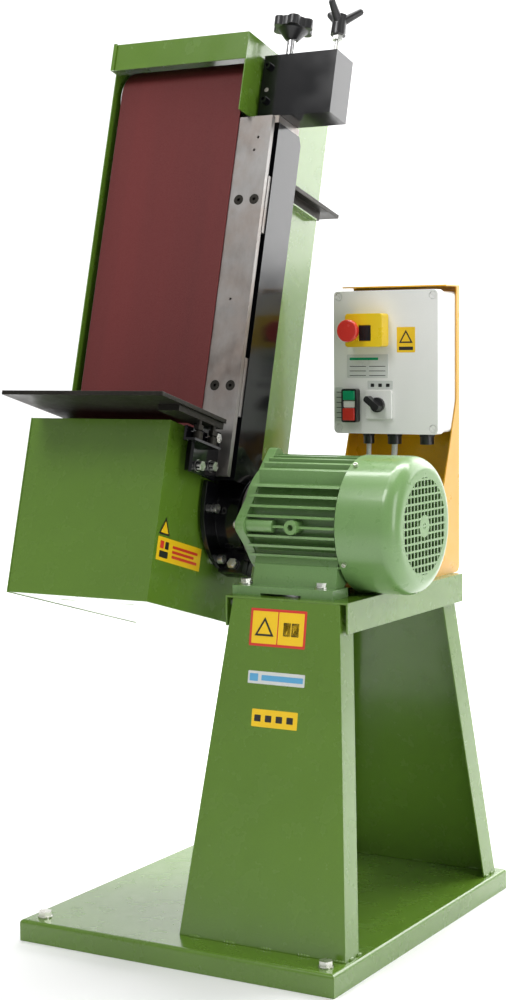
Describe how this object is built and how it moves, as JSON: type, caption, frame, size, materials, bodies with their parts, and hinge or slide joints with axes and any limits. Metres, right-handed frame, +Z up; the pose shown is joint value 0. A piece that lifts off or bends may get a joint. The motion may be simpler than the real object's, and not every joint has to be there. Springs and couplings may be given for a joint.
{
  "type": "pedestal belt grinder",
  "caption": "Floor-standing belt grinder: a wide abrasive belt on a swinging arm with contact wheel, idler and platen, driven by a foot-mounted motor on a folded steel pedestal.",
  "frame": {"origin": "on the floor, under the centre of the machine's bounding box", "axes": "+Z up, -Y towards the operator, +X to the motor's fan end"},
  "size_m": [0.653, 0.666, 1.5636],
  "materials": {
    "green_paint": "satin powder coat",
    "motor_paint": "glossy enamel on castings",
    "amber_paint": "satin powder coat",
    "black_paint": "gloss black enamel",
    "zinc": "bright zinc plate",
    "ground_steel": "surface ground, light rust",
    "dark_steel": "oiled hot-rolled plate",
    "bright_steel": "bright turned steel",
    "alloy": "turned aluminium",
    "abrasive": "cloth-backed aluminium oxide grit",
    "tyre_rubber": "hard serrated rubber",
    "grey_plastic": "fine moulded texture",
    "black_plastic": "moulded",
    "yellow_plastic": "moulded",
    "red_plastic": "moulded",
    "green_plastic": "moulded",
    "cable_sheath": "grey sheath",
    "copper_iron": "laminated core with varnished windings"
  },
  "bodies": {
    "stand": {"base_pan": "green_paint", "floor_bolts": "zinc", "pedestal_panels": "green_paint", "pedestal_top": "green_paint", "control_bracket": "amber_paint", "enclosure_base": "grey_plastic", "enclosure_lid": "grey_plastic", "lid_screws": "grey_plastic", "estop_housing": "yellow_plastic", "button_frame": "black_plastic", "selector_switch": "grey_plastic", "contactor": "black_plastic", "cable_glands": "black_plastic", "motor_lead_a": "cable_sheath", "motor_lead_b": "cable_sheath", "terminal_box": "motor_paint", "terminal_lid": "motor_paint", "motor_frame": "motor_paint", "stator": "copper_iron", "end_shield_drive": "motor_paint", "end_shield_fan": "motor_paint", "fan_cowl": "motor_paint", "motor_bolts": "zinc", "motor_bearings": "ground_steel", "pivot_spigot": "ground_steel"},
    "estop": {"estop_button": "red_plastic"},
    "start": {"start_button": "green_plastic"},
    "stop": {"stop_button": "red_plastic"},
    "selector": {"selector_knob": "black_plastic"},
    "drive": {"motor_shaft": "bright_steel", "rotor": "ground_steel", "fan": "black_plastic", "wheel_core": "alloy", "wheel_tyre": "tyre_rubber", "wheel_bolt": "zinc"},
    "arm": {"arm_plate": "black_paint", "beam": "black_paint", "arm_bolts": "zinc", "guard_box": "green_paint", "guard_channel": "green_paint", "platen": "ground_steel", "platen_screws": "dark_steel", "platen_spacers": "ground_steel", "belt": "abrasive", "rear_rest": "dark_steel", "table_bracket": "black_paint", "door_hinges": "zinc", "tension_nut": "ground_steel"},
    "door": {"side_door": "green_paint"},
    "table": {"work_table": "dark_steel", "table_angle": "dark_steel"},
    "carriage": {"head_box": "black_paint", "slide_tube": "ground_steel"},
    "tension": {"star_knob": "black_plastic", "tension_rod": "bright_steel"},
    "tracking": {"tracking_knob": "black_plastic", "tracking_stud": "zinc"},
    "axle": {"idler_axle": "ground_steel"},
    "idler": {"idler_roller": "alloy", "idler_bearings": "bright_steel"}
  },
  "joints": [
    {"name": "arm_swing", "type": "hinge", "parent": "stand", "child": "arm", "pos_m": [-0.0055, -0.05, 0.69], "axis": [-1, 0, 0], "range_deg": [-15, 75]},
    {"name": "drive_spin", "type": "hinge", "parent": "stand", "child": "drive", "pos_m": [-0.1755, -0.05, 0.69], "axis": [1, 0, 0], "continuous": true},
    {"name": "tension_turn", "type": "hinge", "parent": "carriage", "child": "tension", "pos_m": [-0.0035, 0.11846, 1.50414], "axis": [0, 0.2588, 0.9659], "range_deg": [-1080, 0]},
    {"name": "tension_slide", "type": "slide", "parent": "arm", "child": "carriage", "axis": [0, 0.2588, 0.9659], "range_m": [-0.012, 0], "deforming": ["belt"]},
    {"name": "tracking_turn", "type": "hinge", "parent": "carriage", "child": "tracking", "pos_m": [0.0875, 0.11652, 1.50466], "axis": [0, 0.2588, 0.9659], "range_deg": [-540, 540]},
    {"name": "tracking_tilt", "type": "hinge", "parent": "carriage", "child": "axle", "pos_m": [-0.0225, 0.09064, 1.40807], "axis": [0, 0.9659, -0.2588], "range_deg": [-1, 1]},
    {"name": "idler_spin", "type": "hinge", "parent": "axle", "child": "idler", "pos_m": [-0.1755, 0.09064, 1.40807], "axis": [1, 0, 0], "continuous": true},
    {"name": "table_slide", "type": "slide", "parent": "arm", "child": "table", "axis": [0, 0.9659, -0.2588], "range_m": [-0.015, 0.008]},
    {"name": "door_swing", "type": "hinge", "parent": "arm", "child": "door", "pos_m": [-0.3205, 0.20862, 0.95199], "axis": [0, -0.2588, -0.9659], "range_deg": [0, 110]},
    {"name": "start_press", "type": "slide", "parent": "stand", "child": "start", "axis": [0, 1, 0], "range_m": [0, 0.004], "stiffness_N_per_m": 600, "springref_m": -0.002},
    {"name": "stop_press", "type": "slide", "parent": "stand", "child": "stop", "axis": [0, 1, 0], "range_m": [0, 0.004], "stiffness_N_per_m": 600, "springref_m": -0.002},
    {"name": "estop_press", "type": "slide", "parent": "stand", "child": "estop", "axis": [0, 1, 0], "range_m": [0, 0.006], "stiffness_N_per_m": 800, "springref_m": -0.002},
    {"name": "selector_turn", "type": "hinge", "parent": "stand", "child": "selector", "pos_m": [0.1285, 0.17, 0.875], "axis": [0, 1, 0], "range_deg": [-45, 45]}
  ],
  "couplings": [
    {"joint": "tension_turn", "follows": "tension_slide", "rad_per_m": 1570.7},
    {"joint": "tracking_turn", "follows": "tracking_tilt", "ratio": 539.9},
    {"joint": "idler_spin", "follows": "drive_spin", "ratio": 1.8333}
  ]
}
